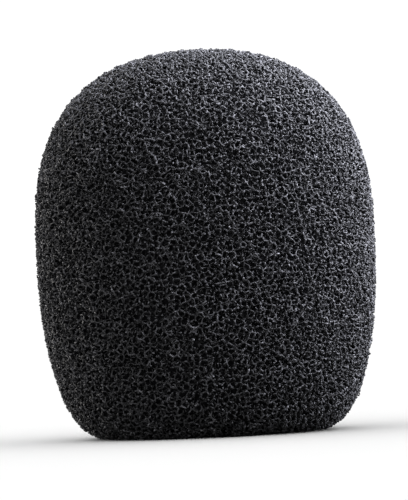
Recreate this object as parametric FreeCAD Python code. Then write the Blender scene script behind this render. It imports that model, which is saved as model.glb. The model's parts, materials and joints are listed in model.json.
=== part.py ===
import FreeCAD, Part
import math
import os

# A slip-on foam windscreen for a hand-held microphone: one block of open-cell foam, domed on top,
# gently tapered below its widest section, flat underneath, with a narrow mouth in the base that
# opens into a blind, bulb-shaped cavity for the microphone's head.
#
# Millimetres. +Z is up along the axis of revolution, and the origin is the centre of the mouth in
# the plane of the flat base.

# Outer form
body_diameter = 60.0  # across the widest section
body_height = 68.2  # base plane to the crown of the dome
widest_height = 31.8  # base plane to the widest section
base_ring_width = 2.0  # flat ring between the mouth's lip and the rounded base corner

# Each free curve is a quarter superellipse. An exponent of 2 across and 2 along would be an
# ellipse; more makes the curve fuller in that direction.
dome_across = 2.27
dome_along = 2.93
base_across = 3.2
base_along = 1.85

# Mouth, relaxed: it stretches over the microphone's head and grips the neck behind it
mouth_diameter = 25.0
mouth_length = 8.0  # straight wall of the mouth
mouth_lip_radius = 1.5  # rounded edge between the mouth and the base
mouth_inner_radius = 2.0  # rounded edge between the mouth and the cavity

# Cavity, relaxed
side_wall = 10.0  # foam left at the cavity's widest section
top_wall = 14.0  # foam left over the cavity's crown
cavity_across = 2.6  # round shoulders, to take a ball-shaped grille
cavity_along = 2.6

# Points that guide each free curve between its two ends
CURVE_SPANS = 8


def at(radius, height):
    """A point of the half profile."""
    return FreeCAD.Vector(radius, 0, height)


def line(start, end):
    return Part.LineSegment(start, end).toShape()


def arc(centre, radius, start_degrees, end_degrees):
    """A circular arc in the profile plane; angles from the outward radial direction."""
    points = []
    for share in (0.0, 0.5, 1.0):
        angle = math.radians(start_degrees + share * (end_degrees - start_degrees))
        points.append(centre + at(radius * math.cos(angle), radius * math.sin(angle)))
    return Part.Arc(*points).toShape()


def smooth(points, start_direction, end_direction):
    curve = Part.BSplineCurve()
    curve.interpolate(
        Points=points,
        InitialTangent=start_direction,
        FinalTangent=end_direction,
    )
    return curve.toShape()


def bulge(wide, level, across, along):
    """A quarter superellipse, upright at the point `wide` and flat at the point `level`."""
    points = [wide]
    for step in range(1, CURVE_SPANS):
        angle = 0.5 * math.pi * step / CURVE_SPANS
        out = math.cos(angle) ** (2.0 / across)
        rise = math.sin(angle) ** (2.0 / along)
        points.append(
            at(level.x + (wide.x - level.x) * out, wide.z + (level.z - wide.z) * rise)
        )
    points.append(level)
    return smooth(points, at(0, math.copysign(1, level.z - wide.z)), at(-1, 0))


def foam_body():
    body_radius = body_diameter / 2
    mouth_radius = mouth_diameter / 2
    cavity_radius = body_radius - side_wall
    cavity_crown = body_height - top_wall
    base_ring_inner = mouth_radius + mouth_lip_radius
    base_ring_outer = base_ring_inner + base_ring_width
    mouth_top = mouth_lip_radius + mouth_length

    # The mouth's inner edge rolls outwards into the ball-shaped floor of the cavity, so the two
    # arcs touch on the line between their centres.
    edge_centre = at(mouth_radius + mouth_inner_radius, mouth_top)
    centre_distance = cavity_radius + mouth_inner_radius
    floor_rise = math.sqrt(centre_distance**2 - edge_centre.x**2)
    floor_centre = at(0, mouth_top + floor_rise)
    meeting_degrees = math.degrees(math.atan2(floor_rise, edge_centre.x))

    lip_centre = at(base_ring_inner, mouth_lip_radius)
    widest = at(body_radius, widest_height)
    crown = at(0, body_height)
    base_edge = at(base_ring_outer, 0)
    cavity_widest = at(cavity_radius, floor_centre.z)
    outline = Part.Wire(
        [
            bulge(widest, crown, dome_across, dome_along).reversed(),
            bulge(widest, base_edge, base_across, base_along),
            line(base_edge, at(base_ring_inner, 0)),
            arc(lip_centre, mouth_lip_radius, 270, 180),
            line(at(mouth_radius, mouth_lip_radius), at(mouth_radius, mouth_top)),
            arc(edge_centre, mouth_inner_radius, 180, 180 - meeting_degrees),
            arc(floor_centre, cavity_radius, -meeting_degrees, 0),
            bulge(cavity_widest, at(0, cavity_crown), cavity_across, cavity_along),
            line(at(0, cavity_crown), crown),
        ]
    )
    return Part.Face(outline).revolve(at(0, 0), at(0, 1), 360)


PARTS = {"foam_body": foam_body}

os.makedirs("parts", exist_ok=True)
for name, build in PARTS.items():
    shape = build()
    shape.exportStep(f"parts/{name}.step")
    box = shape.BoundBox
    print(
        f"{name}: {shape.ShapeType}, valid {shape.isValid()}, {shape.Volume / 1000:.2f} cm3, "
        f"{box.XLength:.2f} x {box.YLength:.2f} x {box.ZLength:.2f} mm"
    )
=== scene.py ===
import itertools
import json
import math

import bpy
import numpy as np
from mathutils import Euler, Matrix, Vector


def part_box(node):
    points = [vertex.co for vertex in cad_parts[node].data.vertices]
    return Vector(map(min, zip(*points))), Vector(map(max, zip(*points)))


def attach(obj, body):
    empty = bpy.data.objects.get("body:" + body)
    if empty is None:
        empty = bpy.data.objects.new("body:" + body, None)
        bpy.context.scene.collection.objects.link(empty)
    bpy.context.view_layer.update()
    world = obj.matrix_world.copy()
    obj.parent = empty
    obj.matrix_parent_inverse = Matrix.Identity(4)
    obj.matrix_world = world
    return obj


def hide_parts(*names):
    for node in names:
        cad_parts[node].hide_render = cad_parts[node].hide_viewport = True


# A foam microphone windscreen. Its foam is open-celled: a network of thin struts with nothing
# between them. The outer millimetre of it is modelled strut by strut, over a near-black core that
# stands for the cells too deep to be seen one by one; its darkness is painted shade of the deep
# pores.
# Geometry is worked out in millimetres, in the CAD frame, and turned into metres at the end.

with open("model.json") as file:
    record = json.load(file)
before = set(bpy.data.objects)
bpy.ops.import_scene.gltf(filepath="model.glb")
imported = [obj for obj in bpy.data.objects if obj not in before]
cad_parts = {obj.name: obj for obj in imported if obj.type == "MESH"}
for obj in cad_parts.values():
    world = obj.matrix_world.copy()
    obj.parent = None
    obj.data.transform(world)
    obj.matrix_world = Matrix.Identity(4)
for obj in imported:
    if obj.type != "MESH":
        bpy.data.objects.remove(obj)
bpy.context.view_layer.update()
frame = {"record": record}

MM = 0.001
SEED = 7

# ---------------------------------------------------------------- sizes taken from the CAD model
node_low, node_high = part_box("foam_body")
mounts = {mount["name"]: mount for mount in frame["record"]["mounts"]}

body_radius = (node_high.x - node_low.x) / 2 / MM
body_height = node_high.z / MM
mouth_radius = mounts["mouth"]["dims"]["r_mm"]
mouth_length = mounts["mouth"]["dims"]["length_mm"]

# ---------------------------------------------------------------- shape values shared with the CAD
WIDEST_HEIGHT = 31.8
DOME_ACROSS, DOME_ALONG = 2.27, 2.93  # exponents of the quarter superellipses
BASE_ACROSS, BASE_ALONG = 3.2, 1.85
CAVITY_ACROSS, CAVITY_ALONG = 2.6, 2.6
BASE_RING_WIDTH = 2.0
LIP_RADIUS = 1.5
INNER_EDGE_RADIUS = 2.0
SIDE_WALL = 10.0
TOP_WALL = 14.0

# Points along each curve of the profile
DOME_POINTS = 60
BASE_POINTS = 50
EDGE_POINTS = 8
CAVITY_FLOOR_POINTS = 16
CAVITY_DOME_POINTS = 40

# ---------------------------------------------------------------- foam
CELL_SIZE = 1.1  # mean width of a foam cell
CELL_VOLUME = 0.686 * CELL_SIZE**3  # of a many-sided cell that fills space with its neighbours
BLOCK_CELLS = 700  # cells in the block of foam that repeats
BLOCK_SIDE = (BLOCK_CELLS * CELL_VOLUME) ** (1 / 3)
CELL_PACKING = 0.2  # evenness of the cells: the share of space filled by balls on their centres
NEAREST = 28  # neighbours that may share a corner with a cell
FARTHEST = 2  # blocks from one to another that its cells may meet, each way
STEPS = 2 * FARTHEST + 1
STEP_CODES = STEPS**3
FLAT_VOLUME = 1e-12  # least volume that a cell's three neighbours are taken to span
ROUNDING = 1e-9
TILT = np.array(Euler((0.61, 0.37, 0.83)).to_matrix())  # of the repeating block, off the axes
CENTRE = np.array([0, 0, body_height / 2])

STRUT_RADIUS = 0.145
STRUT_SPREAD = 0.25  # share by which a strut may be thinner or thicker
STRUT_OVERRUN = 0.4  # of a strut's radius past each end, so that struts meet without a gap
SHORTEST_STRUT = 0.1
MISSING_STRUTS = 0.13  # share of struts that are broken out

LAYER = 1.1  # depth of foam modelled strut by strut under the outside
CAVITY_LAYER = 0.6  # the same under the walls of the mouth and the cavity
CAVITY_SHOWN = 20.0  # height up to which light reaches the cavity well enough to show struts
CAVITY_REACH = 2.0  # foam this far from the cavity counts as its wall
LIP_TOP = LAYER + 1.0  # height under which the foam round the mouth counts as the base
CUT_WAVE = 0.16  # how far the cut surface wanders in and out
CUT_WAVE_LENGTH = 2.2
FLOOR_GAP = 0.2  # from the surface the foam stands on to the ends of the cut struts
WAVES = 7  # sine waves summed into one smooth random field
SECTORS = 10  # pieces that the struts are shared out to, round the axis
MAP_MARGIN = 0.12  # share of a bar's cell of the texture map left free on each side
MAP_CAP = 0.1  # share of that cell's height given to an end face

# Painted shade: a strut's colour is darker the deeper it lies under the surface, standing in for
# the shade inside the foam.
PAINTED_SHADE_DEPTH = 0.6  # over which the painted shade darkens the tone to 1/e
# tone of the deepest struts, where the painted shade is strongest
DEEP_SHADE_TONE = 0.2
TONE_SPREAD = 0.5  # of the logarithm of a strut's own tone
TONE_PATCH = 0.12  # the same for patches of struts
TONE_PATCH_LENGTH = 7.0

CORE_TURNS = 420  # points round the core
CORE_SPACING = 0.42  # between points along its profile
CORE_REACH = 1.0  # points this near the cavity are on its wall
PIT_DEPTH = 0.16
PIT_LENGTH = 1.1
PIT_WAVES = 9

# ---------------------------------------------------------------- grain of the material
GRAIN_SCALE = 900.0  # spots to a metre
GRAIN_DETAIL = 3.0
GRAIN_STOPS = (0.40, 0.62)  # of the noise, for the dark and the light colour
BUMP_STRENGTH = 0.4
BUMP_DEPTH = 0.00004

rng = np.random.default_rng(SEED)


def bulge(wide, level, across, along, steps):
    """Points (radius, height) of a quarter superellipse, upright at `wide` and flat at `level`."""
    angle = np.linspace(0, math.pi / 2, steps)
    out = np.cos(angle).clip(0) ** (2 / across)
    rise = np.sin(angle).clip(0) ** (2 / along)
    radii = level[0] + (wide[0] - level[0]) * out
    heights = wide[1] + (level[1] - wide[1]) * rise
    return np.column_stack([radii, heights])


def arc(centre, radius, start, end, steps):
    """Points of a circular arc; angles in degrees from the outward radial direction."""
    angle = np.radians(np.linspace(start, end, steps))
    return np.column_stack([centre[0] + radius * np.cos(angle), centre[1] + radius * np.sin(angle)])


def outline():
    """The half profile, from the outer crown by the base and the mouth to the cavity's crown."""
    ring_inner = mouth_radius + LIP_RADIUS
    mouth_top = LIP_RADIUS + mouth_length
    cavity_radius = body_radius - SIDE_WALL
    edge = (mouth_radius + INNER_EDGE_RADIUS, mouth_top)
    rise = math.sqrt((cavity_radius + INNER_EDGE_RADIUS) ** 2 - edge[0] ** 2)
    meeting = math.degrees(math.atan2(rise, edge[0]))
    floor = mouth_top + rise
    widest = (body_radius, WIDEST_HEIGHT)
    base_edge = (ring_inner + BASE_RING_WIDTH, 0)
    cavity_crown = (0, body_height - TOP_WALL)
    return np.vstack(
        [
            bulge(widest, (0, body_height), DOME_ACROSS, DOME_ALONG, DOME_POINTS)[::-1],
            bulge(widest, base_edge, BASE_ACROSS, BASE_ALONG, BASE_POINTS)[1:],
            arc((ring_inner, LIP_RADIUS), LIP_RADIUS, 270, 180, EDGE_POINTS),
            arc(edge, INNER_EDGE_RADIUS, 180, 180 - meeting, EDGE_POINTS),
            arc((0, floor), cavity_radius, -meeting, 0, CAVITY_FLOOR_POINTS)[1:],
            bulge(
                (cavity_radius, floor),
                cavity_crown,
                CAVITY_ACROSS,
                CAVITY_ALONG,
                CAVITY_DOME_POINTS,
            )[1:],
        ]
    )


def even(points, spacing):
    """The same open line with points a nearly even distance apart."""
    along = np.r_[0, np.cumsum(np.hypot(*np.diff(points, axis=0).T))]
    steps = max(int(round(along[-1] / spacing)), 1)
    places = np.linspace(0, along[-1], steps + 1)
    return np.column_stack([np.interp(places, along, points[:, i]) for i in (0, 1)])


class DepthTable:
    """How deep a place lies in the foam: positive inside, negative in the air."""

    PITCH = 0.2
    MARGIN = 4.0

    def __init__(self, line):
        radii = np.arange(0, body_radius + self.MARGIN, self.PITCH)
        heights = np.arange(-self.MARGIN, body_height + self.MARGIN, self.PITCH)
        r, z = np.meshgrid(radii, heights, indexing="ij")
        gap = np.full(r.shape, 1e9)
        inside = np.zeros(r.shape, bool)
        loop = np.vstack([line, line[:1]])
        for number, ((r0, z0), (r1, z1)) in enumerate(itertools.pairwise(loop)):
            crosses = (z0 > z) != (z1 > z)
            if z1 != z0:
                inside ^= crosses & (r < r0 + (r1 - r0) * (z - z0) / (z1 - z0))
            if number == len(line) - 1:
                continue  # the stretch on the axis isn't a surface
            across, up = r1 - r0, z1 - z0
            share = ((r - r0) * across + (z - z0) * up) / (across**2 + up**2)
            share = share.clip(0, 1)
            gap = np.minimum(gap, np.hypot(r - r0 - share * across, z - z0 - share * up))
        self.values = np.where(inside, gap, -gap)

    def __call__(self, points):
        r = np.hypot(points[:, 0], points[:, 1]) / self.PITCH
        z = (points[:, 2] + self.MARGIN) / self.PITCH
        i = np.floor(r).astype(int).clip(0, self.values.shape[0] - 2)
        j = np.floor(z).astype(int).clip(0, self.values.shape[1] - 2)
        s = (r - i).clip(0, 1)
        t = (z - j).clip(0, 1)
        v = self.values
        low = v[i, j] * (1 - s) + v[i + 1, j] * s
        high = v[i, j + 1] * (1 - s) + v[i + 1, j + 1] * s
        return low * (1 - t) + high * t


def waves(points, length, count, random):
    """A smooth field of about -1 to 1 that varies over `length`."""
    total = np.zeros(len(points))
    for _ in range(count):
        way = random.normal(size=3)
        way *= 2 * math.pi / (length * random.uniform(0.7, 1.4) * np.linalg.norm(way))
        total += np.sin(points @ way + random.uniform(0, 2 * math.pi))
    return total / math.sqrt(count)


def spaced_points(count, gap, random):
    """Random points in a unit cube that repeats on all sides, none nearer than `gap` to another."""
    points = np.empty((count, 3))
    found = 0
    while found < count:
        trial = random.random(3)
        away = points[:found] - trial
        away -= np.round(away)
        if ((away**2).sum(1) >= gap**2).all():
            points[found] = trial
            found += 1
    return points


def foam_corners(seeds):
    """Where the walls of the cells round the seeds meet, four cells to a corner.

    Gives each corner's place in the unit cube, and its four cells as (seed, cube step) codes.
    """
    away = seeds[None] - seeds[:, None]
    steps = -np.round(away)
    away += steps
    order = np.argsort((away**2).sum(-1), axis=1)[:, 1 : NEAREST + 1]
    i, j, k = np.array(list(itertools.combinations(range(NEAREST), 3))).T
    places, cells = [], []
    for seed, around in enumerate(order):
        near = away[seed, around]
        half = (near**2).sum(1) / 2
        cross = np.cross(near[:, None], near[None])
        volume = (near[i] * cross[j, k]).sum(1)
        volume[np.abs(volume) < FLAT_VOLUME] = FLAT_VOLUME
        centre = half[i, None] * cross[j, k] + half[j, None] * cross[k, i]
        centre += half[k, None] * cross[i, j]
        centre /= volume[:, None]
        real = np.flatnonzero((centre @ near.T <= half + ROUNDING).all(1))
        place = seeds[seed] + centre[real]
        home = np.floor(place)
        mine = [(np.full(len(real), seed), np.zeros((len(real), 3)))]
        mine += [(around[n[real]], steps[seed, around[n[real]]]) for n in (i, j, k)]
        places.append(place - home)
        cells.append(np.column_stack([code(number, step - home) for number, step in mine]))
    cells = np.sort(np.vstack(cells), axis=1)
    cells, first = np.unique(cells, axis=0, return_index=True)
    return np.vstack(places)[first], cells


def code(number, step):
    """One whole number for a seed and a cube step of -FARTHEST to FARTHEST each way."""
    digits = (step + FARTHEST).astype(int)
    return number.astype(int) * STEP_CODES + digits @ np.array([STEPS**2, STEPS, 1])


def step_of(codes):
    """The cube step in such a number."""
    rest = codes % STEP_CODES
    return np.stack([rest // STEPS**2, rest // STEPS % STEPS, rest % STEPS], -1) - FARTHEST


def foam_struts(cells):
    """Each strut as its two corners and the cube step between them.

    Two corners are the ends of a strut where they have three cells in common.
    """
    keys, shifts, corners = [], [], []
    for left_out in range(4):
        three = np.delete(cells, left_out, axis=1)
        shift = step_of(three[:, 0])
        alike = [code(three[:, n] // STEP_CODES, step_of(three[:, n]) - shift) for n in range(3)]
        keys.append(np.column_stack(alike))
        shifts.append(shift)
        corners.append(np.arange(len(cells)))
    keys = np.vstack(keys)
    shifts = np.vstack(shifts)
    corners = np.concatenate(corners)
    order = np.lexsort(keys.T)
    keys, shifts, corners = keys[order], shifts[order], corners[order]
    same = np.flatnonzero((keys[1:] == keys[:-1]).all(1))
    return corners[same], corners[same + 1], shifts[same] - shifts[same + 1]


def cell_network(depth_of):
    """The ends of every strut near the surface, cut off at the surface, and the ends' depths."""
    random = np.random.default_rng(SEED + 1)
    gap = (CELL_PACKING * 6 / (math.pi * BLOCK_CELLS)) ** (1 / 3)
    corners, cells = foam_corners(spaced_points(BLOCK_CELLS, gap, random))
    start, end, step = foam_struts(cells)
    side = int(2 * math.hypot(body_radius, body_height / 2) / BLOCK_SIDE) + 2
    blocks = np.stack(np.meshgrid(*[np.arange(side)] * 3, indexing="ij"), -1).reshape(-1, 3)

    def placed(places):
        return (places - side / 2) * BLOCK_SIDE @ TILT.T + CENTRE

    middle = depth_of(placed(blocks + 0.5))
    reach = BLOCK_SIDE * math.sqrt(3) / 2
    near = (middle > -reach) & (middle < reach + LAYER)
    blocks = blocks[near]
    where = np.full([side + 2] * 3, -1)
    where[tuple((blocks + 1).T)] = np.arange(len(blocks))
    places = placed((blocks[:, None] + corners).reshape(-1, 3))
    neighbour = where[tuple(np.moveaxis(blocks[:, None] + 1 + step, -1, 0))]
    first = (np.arange(len(blocks))[:, None] * len(corners) + start).ravel()
    second = (neighbour * len(corners) + end).ravel()
    joined = neighbour.ravel() >= 0
    first, second = first[joined], second[joined]

    depth = depth_of(places) + CUT_WAVE * waves(places, CUT_WAVE_LENGTH, WAVES, random)
    depth = np.minimum(depth, places[:, 2] - FLOOR_GAP)
    height = places[:, 2]
    cavity_side = np.hypot(places[:, 0], places[:, 1]) < body_radius - SIDE_WALL + CAVITY_REACH
    cavity_side &= (height < body_height - TOP_WALL + CAVITY_REACH) & (height > LIP_TOP)
    limit = np.where(cavity_side, CAVITY_LAYER, LAYER)
    limit[cavity_side & (height > CAVITY_SHOWN)] = -1
    kept = np.maximum(depth[first], depth[second]) > 0
    kept &= (depth[first] < limit[first]) | (depth[second] < limit[second])
    ends = np.stack([first[kept], second[kept]], 1)
    points, depths = places[ends], depth[ends]
    for here, there in ((0, 1), (1, 0)):
        out = depths[:, here] < 0
        share = depths[out, here] / (depths[out, here] - depths[out, there])
        points[out, here] += (points[out, there] - points[out, here]) * share[:, None]
    return points, depths.clip(0)


def bars(points, depths, radii, tones):
    """A closed three-sided bar along each strut.

    Gives the bars' corners, side faces, end faces, tones with painted depth shade and texture
    places.
    """
    way = points[:, 1] - points[:, 0]
    way /= np.linalg.norm(way, axis=1)[:, None]
    side = np.cross(way, rng.normal(size=way.shape))
    side /= np.linalg.norm(side, axis=1)[:, None]
    other = np.cross(way, side)
    count = len(way)
    corners = np.empty((count, 2, 3, 3))
    for end, sign in ((0, -1), (1, 1)):
        middle = points[:, end] + way * (sign * STRUT_OVERRUN * radii)[:, None]
        for k in range(3):
            angle = 2 * math.pi * k / 3
            around = side * math.cos(angle) + other * math.sin(angle)
            corners[:, end, k] = middle + around * radii[:, None]
    # Painted shade: the tone darkens with the strut's depth under the surface, over its own random
    # tone.
    depth_shade = DEEP_SHADE_TONE + (1 - DEEP_SHADE_TONE) * np.exp(-depths / PAINTED_SHADE_DEPTH)
    tone = np.repeat(depth_shade * tones[:, None], 3, axis=1)
    base = (np.arange(count) * 6)[:, None, None]
    sides = base + np.array([(0, 1, 4, 3), (1, 2, 5, 4), (2, 0, 3, 5)])
    caps = base + np.array([(2, 1, 0), (3, 4, 5)])
    places = bar_map(count)
    return corners.reshape(-1, 3), sides.reshape(-1, 4), caps.reshape(-1, 3), tone.ravel(), places


def bar_map(count):
    """Texture places of all side faces, then all end faces: each bar has a square cell."""
    grid = math.ceil(math.sqrt(count))
    number = np.arange(count)
    home = np.column_stack([number % grid, number // grid])[:, None, None]
    low, high = MAP_MARGIN, 1 - MAP_MARGIN
    across = np.linspace(low, high, 4)
    side = [
        [(start, low), (end, low), (end, high), (start, high)]
        for start, end in itertools.pairwise(across)
    ]
    cap = [
        [(0.5, edge), (across[1], edge), (0.5, edge + height)]
        for edge, height in ((low, MAP_CAP), (high, -MAP_CAP))
    ]
    return np.vstack([((home + np.array(face)) / grid).reshape(-1, 2) for face in (side, cap)])


def core(line):
    """The foam under the modelled struts, near-black as painted shade of the deep pores: a closed
    surface with a pitted skin.
    """
    turns = CORE_TURNS
    line = even(line, CORE_SPACING)
    way = np.gradient(line, axis=0)
    way /= np.hypot(*way.T)[:, None]
    inward = np.column_stack([way[:, 1], -way[:, 0]])
    wall = (line[:, 1] > LIP_TOP) & (line[:, 0] < body_radius - SIDE_WALL + CORE_REACH)
    wall &= line[:, 1] < body_height - TOP_WALL + CORE_REACH
    depth = np.where(wall, CAVITY_LAYER, LAYER)
    line = line + inward * depth[:, None]
    line[0, 0] = line[-1, 0] = 0
    angle = np.arange(turns) * 2 * math.pi / turns
    rings = line[1:-1]
    ring_in = inward[1:-1]
    circle = np.column_stack([np.cos(angle), np.sin(angle)])
    points = np.empty((len(rings), turns, 3))
    points[..., :2] = rings[:, None, :1] * circle[None]
    points[..., 2] = rings[:, None, 1]
    normal = np.empty_like(points)
    normal[..., :2] = ring_in[:, None, :1] * circle[None]
    normal[..., 2] = ring_in[:, None, 1]
    flat = points.reshape(-1, 3)
    pits = np.random.default_rng(SEED + 2)
    bump = waves(flat, PIT_LENGTH, PIT_WAVES, pits)
    flat = flat + normal.reshape(-1, 3) * (PIT_DEPTH * bump)[:, None]
    everything = np.vstack([flat, [[0, 0, line[0, 1]], [0, 0, line[-1, 1]]]])
    n = len(rings)
    i, j = np.meshgrid(np.arange(n - 1) * turns, np.arange(turns), indexing="ij")
    k = (j + 1) % turns
    quads = np.stack([i + j, i + turns + j, i + turns + k, i + k], -1).reshape(-1, 4)
    j = np.arange(turns)
    k = (j + 1) % turns
    top = np.column_stack([np.full(turns, n * turns), j, k])
    last = (n - 1) * turns
    end = np.column_stack([np.full(turns, n * turns + 1), last + k, last + j])
    return everything, quads, np.vstack([top, end])


def piece_of(name, points, quads, triangles, tone, material):
    """A piece of foam that rides the body and stands for its CAD node."""
    mesh = bpy.data.meshes.new(name)
    mesh.vertices.add(len(points))
    mesh.vertices.foreach_set("co", (points * MM).astype(np.float32).ravel())
    corners = np.concatenate([quads.ravel(), triangles.ravel()]).astype(np.int32)
    starts = [np.arange(len(quads)) * 4, quads.size + np.arange(len(triangles)) * 3]
    starts = np.concatenate(starts)
    mesh.loops.add(len(corners))
    mesh.loops.foreach_set("vertex_index", corners)
    mesh.polygons.add(len(starts))
    mesh.polygons.foreach_set("loop_start", starts.astype(np.int32))
    mesh.update(calc_edges=True)
    mesh.validate()
    mesh.polygons.foreach_set("use_smooth", np.ones(len(starts), bool))
    values = np.broadcast_to(tone, len(points)).astype(np.float32)
    mesh.attributes.new("tone", "FLOAT", "POINT").data.foreach_set("value", values)
    mesh.materials.append(material)
    piece = bpy.data.objects.new(name, mesh)
    bpy.context.scene.collection.objects.link(piece)
    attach(piece, "root")
    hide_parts("foam_body")
    return piece


def foam_material(name, dark, light, roughness, specular):
    """Foam of a colour and roughness that vary from point to point, over a fine bump."""
    mat = bpy.data.materials.new(name)
    mat.use_nodes = True
    nodes, links = mat.node_tree.nodes, mat.node_tree.links
    shader = nodes["Principled BSDF"]
    shader.inputs["Specular IOR Level"].default_value = specular
    where = nodes.new("ShaderNodeTexCoord")
    noise = nodes.new("ShaderNodeTexNoise")
    noise.inputs["Scale"].default_value = GRAIN_SCALE
    noise.inputs["Detail"].default_value = GRAIN_DETAIL
    links.new(where.outputs["Object"], noise.inputs["Vector"])

    ramp = nodes.new("ShaderNodeValToRGB")
    for stop, position, colour in zip(ramp.color_ramp.elements, GRAIN_STOPS, (dark, light)):
        stop.color = (*colour, 1)
        stop.position = position
    links.new(noise.outputs["Fac"], ramp.inputs["Fac"])
    # The tone attribute is each strut's own random tone times its painted depth shade.
    tone = nodes.new("ShaderNodeAttribute")
    tone.attribute_name = "tone"
    shade = nodes.new("ShaderNodeVectorMath")
    shade.operation = "SCALE"
    links.new(ramp.outputs["Color"], shade.inputs[0])
    links.new(tone.outputs["Fac"], shade.inputs["Scale"])
    links.new(shade.outputs["Vector"], shader.inputs["Base Color"])

    rough = nodes.new("ShaderNodeMapRange")
    rough.inputs["To Min"].default_value = roughness[0]
    rough.inputs["To Max"].default_value = roughness[1]
    links.new(noise.outputs["Fac"], rough.inputs["Value"])
    links.new(rough.outputs["Result"], shader.inputs["Roughness"])
    bump = nodes.new("ShaderNodeBump")
    bump.inputs["Strength"].default_value = BUMP_STRENGTH
    bump.inputs["Distance"].default_value = BUMP_DEPTH
    links.new(noise.outputs["Fac"], bump.inputs["Height"])
    links.new(bump.outputs["Normal"], shader.inputs["Normal"])
    return mat


strut_material = foam_material(
    "foam_strut",
    dark=(0.0075, 0.0075, 0.0082),
    light=(0.031, 0.031, 0.0336),
    roughness=(0.3, 0.5),
    specular=0.18,
)
# Painted shade: the core is black foam made near-black and glossless, darker than the struts' own
# colour, for the shade deep in the pores.
deep_shade_material = foam_material(
    "foam_deep_shade",
    dark=(0.003, 0.003, 0.0033),
    light=(0.006, 0.006, 0.0065),
    roughness=(0.8, 1.0),
    specular=0.0,
)

line = outline()
points, depths = cell_network(DepthTable(line))
length = np.linalg.norm(points[:, 1] - points[:, 0], axis=1)
whole = (length > SHORTEST_STRUT) & (rng.random(len(points)) > MISSING_STRUTS)
points, depths = points[whole], depths[whole]
middle = points.mean(1)
radii = STRUT_RADIUS * rng.uniform(1 - STRUT_SPREAD, 1 + STRUT_SPREAD, len(points))
tones = TONE_SPREAD * rng.normal(size=len(points))
tones = np.exp(tones + TONE_PATCH * waves(middle, TONE_PATCH_LENGTH, WAVES, rng))
turn = np.arctan2(middle[:, 1], middle[:, 0]) / (2 * math.pi) % 1
sector = np.floor(turn * SECTORS).astype(int)

pieces = []
for number in range(SECTORS):
    chosen = sector == number
    corners, sides, caps, tone, places = bars(
        points[chosen], depths[chosen], radii[chosen], tones[chosen]
    )
    piece = piece_of(f"foam_cells_{number + 1}", corners, sides, caps, tone, strut_material)
    texture = piece.data.uv_layers.new(name="OFBake")
    texture.data.foreach_set("uv", places.astype(np.float32).ravel())
    pieces.append(piece)
pieces.append(piece_of("foam_core", *core(line), 1.0, deep_shade_material))

# ---------------------------------------------------------------- floor and sky
FLOOR_SIDE = 6.0
FLOOR_WHITE = 0.93
FLOOR_ROUGHNESS = 0.9
SKY_STRENGTH = 1.1

half = FLOOR_SIDE / 2
square = [(-half, -half, 0), (half, -half, 0), (half, half, 0), (-half, half, 0)]
mesh = bpy.data.meshes.new("floor")
mesh.from_pydata(square, [], [(0, 1, 2, 3)])
floor = bpy.data.objects.new("floor", mesh)
bpy.context.scene.collection.objects.link(floor)
floor_material = bpy.data.materials.new("floor_paper")
floor_material.use_nodes = True
paper = floor_material.node_tree.nodes["Principled BSDF"]
paper.inputs["Base Color"].default_value = (FLOOR_WHITE, FLOOR_WHITE, FLOOR_WHITE, 1)
paper.inputs["Roughness"].default_value = FLOOR_ROUGHNESS
floor.data.materials.append(floor_material)

world = bpy.data.worlds.new("studio")
bpy.context.scene.world = world
world.use_nodes = True
sky = world.node_tree.nodes["Background"]
sky.inputs["Color"].default_value = (1, 1, 1, 1)
sky.inputs["Strength"].default_value = SKY_STRENGTH
bpy.context.scene.view_settings.view_transform = "Standard"

# ---------------------------------------------------------------- light
centre = Vector((0, 0, body_height * MM / 2))
# The softboxes light the foam only, so the floor keeps the even white of the sky.
lit = bpy.data.collections.new("foam_lit")
for piece in pieces:
    lit.objects.link(piece)


def softbox(name, direction, distance, size, watts, colour):
    """A round soft light that faces the middle of the object; metres."""
    light = bpy.data.lights.new(name, "AREA")
    light.shape = "DISK"
    light.size = size
    light.energy = watts
    light.color = colour
    lamp = bpy.data.objects.new(name, light)
    way = Vector(direction).normalized()
    lamp.location = centre + way * distance
    lamp.rotation_mode = "QUATERNION"
    lamp.rotation_quaternion = way.to_track_quat("Z", "Y")
    bpy.context.scene.collection.objects.link(lamp)
    lamp.light_linking.receiver_collection = lit


softbox("key_light", (0.72, -0.01, 0.77), 0.2, 0.32, 6.3, (0.88, 0.90, 1.0))
softbox("fill_light", (-0.2, -0.85, 0.6), 0.5, 0.08, 1.4, (0.97, 0.97, 1.0))
softbox("rim_light", (-0.85, 0.6, 0.15), 0.6, 0.2, 1.6, (1.0, 0.96, 0.92))

# ---------------------------------------------------------------- camera
LENS = 500.0
SENSOR = 36.0
OBJECT_SHARE = 384.6 / 500.0  # of the picture's height that the object fills
ELEVATION = 0.3
LEAN = 2.63  # degrees that the object leans to the left in the picture
AIM = (-0.00028, 0, -0.00138)  # from the object's middle to the middle of the picture
CLIP = (0.01, 20)

camera_data = bpy.data.cameras.new("camera")
camera_data.lens = LENS
camera_data.sensor_width = SENSOR
camera_data.clip_start, camera_data.clip_end = CLIP
camera = bpy.data.objects.new("camera", camera_data)
bpy.context.scene.collection.objects.link(camera)
distance = body_height * MM / OBJECT_SHARE * LENS / SENSOR
elevation = math.radians(ELEVATION)
back = Vector((0, -math.cos(elevation), math.sin(elevation)))
camera.location = centre + back * distance + Vector(AIM)
camera.rotation_mode = "QUATERNION"
roll = Euler((0, 0, math.radians(-LEAN))).to_quaternion()
camera.rotation_quaternion = back.to_track_quat("Z", "Y") @ roll
bpy.context.scene.camera = camera
